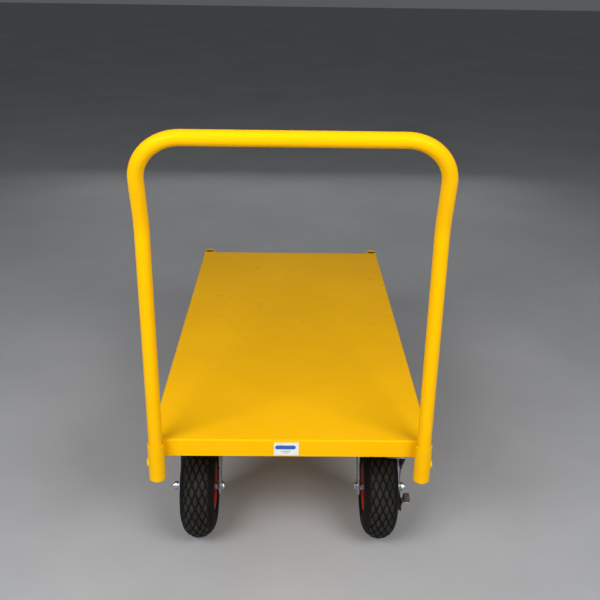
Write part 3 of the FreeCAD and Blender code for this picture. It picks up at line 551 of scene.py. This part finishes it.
# Each rib of the sidewall: its place and half width as parts of the sidewall, and its height.
SIDEWALL_RIBS = ((0.40, 0.030, 0.7 * MM), (0.66, 0.045, 0.9 * MM), (0.90, 0.05, 1.2 * MM))
SIDEWALL_STEPS = 44
BEAD_TOE = 5 * MM
BEAD_SEAT = 9.5 * MM
SAME_PLACE = 0.02 * MM
TYRE_SMOOTH_ANGLE = 35.0


class TyreMesh:
    """A closed tyre: a lattice of raised diamond blocks between two ribbed sidewalls."""

    def __init__(self, section):
        self.section = section
        self.mesh = bmesh.new()
        self.top = self.mesh.verts.layers.float.new(TREAD_TOP)
        self.lattice()
        for side in (-1, 1):
            self.sidewall(side)
        bmesh.ops.remove_doubles(self.mesh, verts=self.mesh.verts, dist=SAME_PLACE)

    def vertex(self, along, turn, level):
        """A vertex at a distance from the crown and a turn in tread periods.

        The level goes from 0 on the groove's floor to 1 on the block's top.
        """
        fade = min(1.0, max(0.0, (TREAD_EDGE - abs(along)) / TREAD_FADE))
        x, radius = self.section.point(along, TREAD_DEPTH * fade * (1.0 - level))
        angle = 2 * math.pi * turn / TREAD_PERIODS
        place = self.section.centre + Vector((x, radius * math.sin(angle), radius * math.cos(angle)))
        made = self.mesh.verts.new(place)
        made[self.top] = level * fade
        return made

    def rounded(self, u, v, scale):
        """A point of the unit diamond's edge, scaled; inside the cell the diamond bulges a little."""
        if scale < 1.0:
            scale /= (abs(u) ** BLOCK_BULGE + abs(v) ** BLOCK_BULGE) ** (1 / BLOCK_BULGE)
        return scale * u, scale * v

    def diamond(self, along, turn, scale, level):
        """The ring of vertices of one diamond, scaled about its middle."""
        ring = []
        for (u0, v0), (u1, v1) in zip(DIAMOND_CORNERS, DIAMOND_CORNERS[1:] + DIAMOND_CORNERS[:1]):
            for step in range(EDGE_STEPS):
                part = step / EDGE_STEPS
                u, v = self.rounded(u0 + (u1 - u0) * part, v0 + (v1 - v0) * part, scale)
                ring.append(self.vertex(along + TREAD_PITCH / 2 * u, turn + v / 2, level))
        return ring

    def block(self, along, turn):
        rings = [self.diamond(along, turn, scale, level) for scale, level in BLOCK_RINGS]
        skin(self.mesh, rings)
        tip = self.vertex(along, turn, 1.0)
        last = rings[-1]
        for index, corner in enumerate(last):
            add_face(self.mesh, corner, last[(index + 1) % len(last)], tip)

    def half_block(self, side, turn):
        """The block that runs out into the sidewall at the tread's edge."""
        rows = []
        for scale, level in BLOCK_RINGS:
            row = []
            for step in range(-EDGE_STEPS, EDGE_STEPS + 1):
                part = step / EDGE_STEPS
                u, v = self.rounded(1 - abs(part), part, scale)
                row.append(self.vertex(side * (TREAD_EDGE - TREAD_PITCH / 2 * u), turn + v / 2, level))
            rows.append(row)
        skin(self.mesh, rows, closed=False)
        tip = self.vertex(side * TREAD_EDGE, turn, 1.0)
        for first, second in zip(rows[-1], rows[-1][1:]):
            add_face(self.mesh, first, second, tip)

    def lattice(self):
        for period in range(TREAD_PERIODS):
            for column in (-1, 0, 1):
                self.block(column * TREAD_PITCH, period)
            for column in (-1.5, -0.5, 0.5, 1.5):
                self.block(column * TREAD_PITCH, period + 0.5)
            for side in (-1, 1):
                self.half_block(side, period)

    def rib_height(self, part):
        """How far the moulded ribs stand out at that part of the sidewall."""
        height = 0.0
        for place, half_width, rib in SIDEWALL_RIBS:
            reach = abs(part - place) / half_width
            if reach < 1:
                height += rib * (1 - reach * reach)
        return height

    def sidewall(self, side):
        """Sidewall from the tread's edge to the bead, then in to the rim seat."""
        section = self.section
        profile = []
        for step in range(SIDEWALL_STEPS + 1):
            part = step / SIDEWALL_STEPS
            along = TREAD_EDGE + (section.length - TREAD_EDGE) * part
            profile.append(section.point(side * along, -self.rib_height(part)))
        bead_x = side * section.BEAD_X
        bead_radius = section.radius - section.BEAD_DROP
        profile.append((bead_x, bead_radius - BEAD_TOE))
        profile.append((bead_x, bead_radius - BEAD_SEAT))
        profile.append((0.0, bead_radius - BEAD_SEAT))
        across, up = Vector((0, 0, 1)), Vector((0, 1, 0))
        count = TREAD_PERIODS * 2 * EDGE_STEPS
        rings = []
        for x, radius in profile:
            place = section.centre + Vector((x, 0, 0))
            rings.append(ring_of(self.mesh, place, across, up, [radius] * count))
        skin(self.mesh, rings)


def make_tyres():
    for end in ENDS:
        for side in SIDES:
            node = f"{end}_{side}_tyre"
            built = TyreMesh(TyreSection(node))
            body = body_of_wheel(end, side)
            rubber = MATERIALS["tyre_rubber"]
            tyre = make_object(node + "_treaded", built.mesh, rubber, body, TYRE_SMOOTH_ANGLE)
            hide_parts(node)


make_tyres()


# ---------------------------------------------------------------- weld beads
class Bead:
    """A weld bead: overlapping ripples laid along a line of points, half sunk in the joint."""

    RIPPLE = 2.6 * MM
    RIPPLE_STEPS = 4
    SWELL = 0.13
    BLUNT = 0.05
    SIDES = 8
    SMOOTH_ANGLE = 60.0

    def __init__(self, name, body, slot, width):
        self.name, self.body, self.slot, self.width = name, body, slot, width
        self.mesh = bmesh.new()

    def run(self, start, end):
        """One bead between two points; its ends are closed with rounded tips."""
        start, end = Vector(start), Vector(end)
        length = (end - start).length
        ahead = (end - start).normalized()
        across = ahead.orthogonal().normalized()
        up = ahead.cross(across)
        count = max(4, int(length / self.RIPPLE) * self.RIPPLE_STEPS)
        rings = []
        for step in range(count + 1):
            travelled = length * step / count
            place = start.lerp(end, step / count)
            radius = self.radius(travelled, min(travelled, length - travelled))
            rings.append(ring_of(self.mesh, place, across, up, [radius] * self.SIDES))
        solid_skin(self.mesh, rings)

    def radius(self, travelled, from_end):
        """Half the bead's width there: rippled, and rounded off towards its ends."""
        swell = 1.0 + self.SWELL * math.sin(travelled / self.RIPPLE * 2 * math.pi)
        part = min(1.0, from_end / self.width)
        return self.width / 2 * swell * math.sqrt(min(1.0, self.BLUNT + part * (2 - part)))

    def done(self):
        make_object(self.name, self.mesh, MATERIALS[self.slot], self.body, self.SMOOTH_ANGLE)


SOCKET_WELD_LOW = 3 * MM
SOCKET_WELD_HIGH = 4.5 * MM
STITCH = 40 * MM
BOLSTER_STITCHES = 4
BOLSTER_STITCH_PITCH = 140 * MM
RAIL_STITCHES = 5
SHOE_WELD_INSET = Vector((0, 8 * MM, 4.5 * MM))
SHOE_WELD_RUN = Vector((0, 16 * MM, 5 * MM))
PEDAL_WELD_START, PEDAL_WELD_END = 3 * MM, 4 * MM
BRACKET_LEG = 47 * MM
BRACKET_WELD_HALF = 38 * MM
BRACKET_PLATE = 6 * MM


def socket_welds():
    """Two upright beads where each socket meets the deck's end face."""
    bead = Bead("socket_welds", "deck", "yellow_powder_coat", width=4.2 * MM)
    low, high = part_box("deck_tray")
    for end, face in (("near", low.y), ("far", high.y)):
        for side in SIDES:
            rim, radius = socket_tube(f"{end}_{side}_socket")
            reach = math.sqrt(radius ** 2 - (rim.y - face) ** 2)
            for x in (rim.x - reach, rim.x + reach):
                bead.run((x, face, low.z + SOCKET_WELD_LOW), (x, face, high.z - SOCKET_WELD_HIGH))
    bead.done()


def underside_welds():
    """Stitch beads where the bolsters and side rails meet the underside of the deck sheet."""
    bead = Bead("underside_welds", "deck", "yellow_powder_coat", width=5 * MM)
    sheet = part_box("near_bolster")[1].z
    for node in ("near_bolster", "far_bolster"):
        low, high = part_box(node)
        for y in (low.y, high.y):
            for index in range(BOLSTER_STITCHES):
                x = (index - (BOLSTER_STITCHES - 1) / 2) * BOLSTER_STITCH_PITCH
                bead.run((x - STITCH / 2, y, sheet), (x + STITCH / 2, y, sheet))
    low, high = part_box("side_rails")
    for x in (-high.x, high.x):
        for index in range(RAIL_STITCHES):
            y = low.y + (high.y - low.y) * (index + 0.5) / RAIL_STITCHES
            bead.run((x, y - STITCH / 2, sheet), (x, y + STITCH / 2, sheet))
    bead.done()


def brake_welds():
    """Beads that hold the shoe and the pedal on the brake lever."""
    bead = Bead("brake_welds", "brake", "black_steel", width=3 * MM)
    lever_low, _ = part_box("brake_lever")
    shoe_low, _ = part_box("brake_shoe")
    start = Vector((lever_low.x, shoe_low.y, shoe_low.z)) + SHOE_WELD_INSET
    bead.run(start, start + SHOE_WELD_RUN)
    low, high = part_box("brake_pedal")
    bead.run((low.x, low.y + PEDAL_WELD_START, low.z), (low.x, high.y - PEDAL_WELD_END, low.z))
    bead.done()


def bracket_welds():
    """Beads where the fixed castors' legs meet their top plates."""
    bead = Bead("bracket_welds", "deck", "zinc_plated_steel", width=4 * MM)
    for side in SIDES:
        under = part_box(f"far_{side}_bracket")[1].z - BRACKET_PLATE
        wheel = middle(f"far_{side}_tyre")
        for x in (wheel.x - BRACKET_LEG, wheel.x + BRACKET_LEG):
            bead.run((x, wheel.y - BRACKET_WELD_HALF, under), (x, wheel.y + BRACKET_WELD_HALF, under))
    bead.done()


# ---------------------------------------------------------------- label, pedal pad and valve caps
CORNER_STEPS = 6
INK_THICKNESS = 0.12 * MM
PRINT_SHIFT = -2 * MM
LABEL_SMOOTH_ANGLE = 30.0


def printed_patch(name, drop, width, height, radius, ink):
    """A thin rounded rectangle of ink standing off the label, its middle at that drop from the top."""
    low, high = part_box("data_label")
    place = Vector(((low.x + high.x) / 2 + PRINT_SHIFT, low.y, high.z - drop))
    mesh = bmesh.new()
    outline = []
    for quarter, (across, up) in enumerate(((1, 1), (-1, 1), (-1, -1), (1, -1))):
        for step in range(CORNER_STEPS + 1):
            angle = (quarter + step / CORNER_STEPS) * math.pi / 2
            x = across * (width / 2 - radius) + radius * math.cos(angle)
            z = up * (height / 2 - radius) + radius * math.sin(angle)
            outline.append(mesh.verts.new(place + Vector((x, 0, z))))
    grown = bmesh.ops.extrude_face_region(mesh, geom=[mesh.faces.new(outline)])
    for item in grown["geom"]:
        if isinstance(item, bmesh.types.BMVert):
            item.co.y -= INK_THICKNESS
    make_object(name, mesh, ink, "deck", LABEL_SMOOTH_ANGLE)


def label_print():
    """A plain blue bar and two grey rules, each with its drop, width, height and corner radius."""
    printed_patch("label_bar", 12 * MM, 45 * MM, 10 * MM, 4.9 * MM, BLUE_INK)
    printed_patch("label_rule_long", 22 * MM, 22 * MM, 1.6 * MM, 0.7 * MM, GREY_INK)
    printed_patch("label_rule_short", 26 * MM, 14 * MM, 1.2 * MM, 0.5 * MM, GREY_INK)


PAD_GROOVES = 5
GROOVE_STEPS = 6
GROOVE_FLOOR_STEPS = (2, 3, 4)
GROOVE_DEPTH = 0.16
PAD_END = 0.06
PAD_PLAIN_END = 0.04
PAD_PINCH = 0.08
PAD_SMOOTH_ANGLE = 25.0
# The pad's outline as (across, up), in parts of its width and height.
PAD_OUTLINE = (
    (0.0, 0.0), (0.0, 0.80), (0.06, 0.93), (0.16, 1.0),
    (0.84, 1.0), (0.94, 0.93), (1.0, 0.80), (1.0, 0.0),
)
PAD_CREST, PAD_WAIST = 0.9, 0.5


def grooved_pad():
    """The pedal's rubber pad: rounded block with grip grooves across its top."""
    low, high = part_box("pedal_pad")
    size = high - low
    mesh = bmesh.new()
    steps = PAD_GROOVES * GROOVE_STEPS
    rings = []
    for step in range(steps + 1):
        part = step / steps
        pinch = PAD_PINCH * max(0.0, 1 - min(part, 1 - part) / PAD_END) ** 2
        grooved = step % GROOVE_STEPS in GROOVE_FLOOR_STEPS and PAD_PLAIN_END < part < 1 - PAD_PLAIN_END
        ring = []
        for across, up in PAD_OUTLINE:
            if up > PAD_CREST and grooved:
                up -= GROOVE_DEPTH
            if up > PAD_WAIST:
                up -= pinch
            across = 0.5 + (across - 0.5) * (1 - pinch)
            ring.append(mesh.verts.new(low + Vector((size.x * across, size.y * part, size.z * up))))
        rings.append(ring)
    solid_skin(mesh, rings)
    rubber = MATERIALS["pedal_rubber"]
    pad = make_object("pedal_pad_grooved", mesh, rubber, "brake", PAD_SMOOTH_ANGLE)
    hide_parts("pedal_pad")


VALVE_ROOT = Vector((0, 0, 63 * MM))
VALVE_LENGTH = 30 * MM
CAP_SIDES = 24
CAP_KNURL = 0.35
CAP_SMOOTH_ANGLE = 30.0
# Each ring of a valve cap, in millimetres: its place along the stem from the tip, and its radius.
CAP_RINGS = ((-9, 4.3), (-9, 5), (-1.5, 5), (0.4, 4.2), (1.2, 2.6))


def valve_cap(end, side):
    """Knurled cap on the valve stem, which slopes out of the rim towards +X."""
    axis = Vector((1, 0, -1)).normalized()
    tip = middle(f"{end}_{side}_tyre") + VALVE_ROOT + axis * VALVE_LENGTH
    across = Vector((0, 1, 0))
    up = axis.cross(across)
    mesh = bmesh.new()
    rings = []
    for offset, radius in CAP_RINGS:
        knurl = CAP_KNURL if offset < 0 else 0.0
        radii = [(radius - knurl * (index % 2)) * MM for index in range(CAP_SIDES)]
        rings.append(ring_of(mesh, tip + axis * offset * MM, across, up, radii))
    solid_skin(mesh, rings)
    name = f"{end}_{side}_valve_cap"
    rubber = MATERIALS["tube_rubber"]
    make_object(name, mesh, rubber, body_of_wheel(end, side), CAP_SMOOTH_ANGLE)


socket_welds()
underside_welds()
brake_welds()
bracket_welds()
label_print()
grooved_pad()
for end_name in ENDS:
    for side_name in SIDES:
        valve_cap(end_name, side_name)


# ---------------------------------------------------------------- stage, light and camera
FLOOR_HALF = 25.0
FLOOR_CELLS = 8


def make_floor():
    mesh = bmesh.new()
    bmesh.ops.create_grid(mesh, x_segments=FLOOR_CELLS, y_segments=FLOOR_CELLS, size=FLOOR_HALF)
    data = bpy.data.meshes.new("floor")
    mesh.to_mesh(data)
    mesh.free()
    floor = bpy.data.objects.new("floor", data)
    bpy.context.scene.collection.objects.link(floor)
    data.materials.append(studio_floor())


def area_light(name, place, target, size, power, glossy=True):
    data = bpy.data.lights.new(name, "AREA")
    data.shape = "RECTANGLE"
    data.size, data.size_y = size
    data.energy = power
    lamp = bpy.data.objects.new(name, data)
    bpy.context.scene.collection.objects.link(lamp)
    lamp.location = place
    lamp.rotation_euler = (Vector(target) - Vector(place)).to_track_quat("-Z", "Y").to_euler()
    lamp.visible_glossy = glossy


FRONT_LAMP = {"target": (0, -0.5, 0.5), "size": (1.5, 1.1)}
SIDE_LAMP = {"target": (0, 0.2, 0.3), "size": (2.6, 1.0), "power": 7, "glossy": False}


def make_lights():
    """Two soft lamps in front of the handle, a weak one overhead, and weak fills behind and beside."""
    area_light("front_left", place=(-1.40, -2.25, 2.10), power=62, **FRONT_LAMP)
    area_light("front_right", place=(1.40, -2.25, 2.10), power=53, **FRONT_LAMP)
    area_light("overhead", place=(0, -1.1, 3.1), target=(0, -0.6, 0.3), size=(2.2, 1.6), power=10)
    area_light("back_fill", place=(0, 3.2, 0.9), target=(0, 0, 0.3), size=(3.0, 1.0), power=8, glossy=False)
    area_light("left_fill", place=(-3.4, 0.3, 1.0), **SIDE_LAMP)
    area_light("right_fill", place=(3.4, 0.3, 1.0), **SIDE_LAMP)
    world = bpy.data.worlds.new("studio")
    world.use_nodes = True
    background = world.node_tree.nodes["Background"]
    background.inputs["Color"].default_value = WORLD_GREY
    background.inputs["Strength"].default_value = 1.0
    bpy.context.scene.world = world
    bpy.context.scene.view_settings.view_transform = "Standard"


CAMERA_PLACE = Vector((-0.0069, -2.0767, 1.3287))
CAMERA_YAW = math.radians(-0.91)
CAMERA_PITCH = math.radians(22.83)
CAMERA_ROLL = math.radians(0.88)
CAMERA_LENS = 48.29
CAMERA_SENSOR = 36.0


def make_camera():
    """The camera that the photo was taken with, solved from its straight edges."""
    data = bpy.data.cameras.new("camera")
    data.sensor_width = CAMERA_SENSOR
    data.lens = CAMERA_LENS
    data.dof.use_dof = False
    camera = bpy.data.objects.new("camera", data)
    bpy.context.scene.collection.objects.link(camera)
    turn = Matrix.Rotation(CAMERA_YAW, 4, "Z") @ Matrix.Rotation(math.pi / 2 - CAMERA_PITCH, 4, "X")
    camera.matrix_world = Matrix.Translation(CAMERA_PLACE) @ turn @ Matrix.Rotation(CAMERA_ROLL, 4, "Z")
    bpy.context.scene.camera = camera


make_floor()
make_lights()
make_camera()
